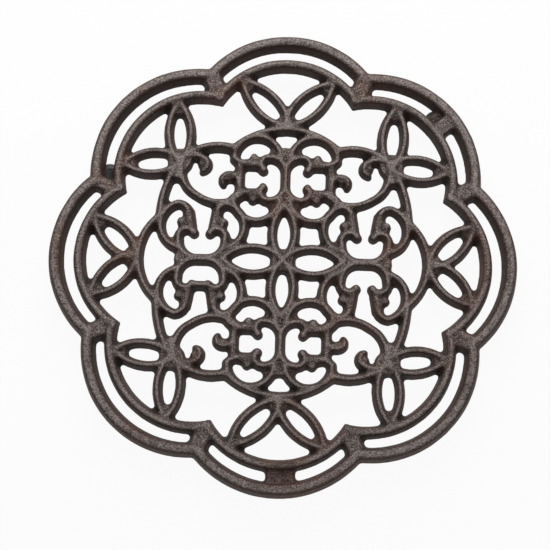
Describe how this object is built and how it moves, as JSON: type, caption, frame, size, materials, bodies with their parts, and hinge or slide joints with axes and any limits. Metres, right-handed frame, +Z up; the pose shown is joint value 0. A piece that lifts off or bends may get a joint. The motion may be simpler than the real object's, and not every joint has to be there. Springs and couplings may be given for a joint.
{
  "type": "trivet",
  "caption": "Round openwork cast iron trivet with a scalloped double rim, pierced leaves and a scrollwork medallion, on short legs with rubber caps; keeps a hot pot off the table.",
  "frame": {"origin": "on the table under the middle of the casting", "axes": "+Z up through the pot's resting face, +Y away from the lobe that carries the front leg"},
  "size_m": [0.2024, 0.2024, 0.0162],
  "materials": {
    "iron": "bare sand-cast iron, matt, brown-grey",
    "rubber": "matt black moulded rubber"
  },
  "bodies": {
    "root": {"iron_casting": "iron", "rubber_cap_front": "rubber", "rubber_cap_right": "rubber", "rubber_cap_left": "rubber"}
  },
  "joints": []
}
